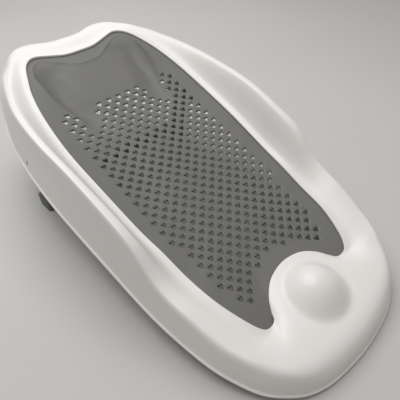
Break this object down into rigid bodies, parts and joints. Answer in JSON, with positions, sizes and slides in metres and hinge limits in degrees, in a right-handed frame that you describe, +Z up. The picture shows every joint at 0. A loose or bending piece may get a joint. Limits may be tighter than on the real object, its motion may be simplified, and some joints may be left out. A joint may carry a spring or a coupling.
{
  "type": "baby bath support",
  "caption": "Reclined baby bath support: a moulded rim shell around a soft perforated seat panel, with a folding rear stand and front pads.",
  "frame": {"origin": "centre of the bounding box's bottom face, on the floor it stands on", "axes": "+Z up, +Y along the length from the foot end to the raised head end, +X to the right when looking towards the head end"},
  "size_m": [0.3242, 0.616, 0.2035],
  "materials": {
    "shell_plastic": "satin moulded, warm white",
    "panel_rubber": "matt soft moulded, mid grey",
    "frame_plastic": "matt moulded",
    "stand_plastic": "matt moulded, dark grey",
    "foot_rubber": "matt",
    "steel": "plain"
  },
  "bodies": {
    "support": {"shell": "shell_plastic", "seat_panel": "panel_rubber", "panel_frame": "frame_plastic", "frame_screws": "steel", "hinge_bracket_left": "frame_plastic", "hinge_bracket_right": "frame_plastic", "bracket_screws": "steel", "hinge_pin_left": "steel", "hinge_pin_right": "steel", "front_pad_left": "foot_rubber", "front_pad_right": "foot_rubber"},
    "stand": {"stand_frame": "stand_plastic", "stand_shoe_left": "foot_rubber", "stand_shoe_right": "foot_rubber"}
  },
  "joints": [
    {"name": "stand_fold", "type": "hinge", "parent": "support", "child": "stand", "pos_m": [0, 0.153, 0.1], "axis": [-1, 0, 0], "range_deg": [0, 88]}
  ]
}
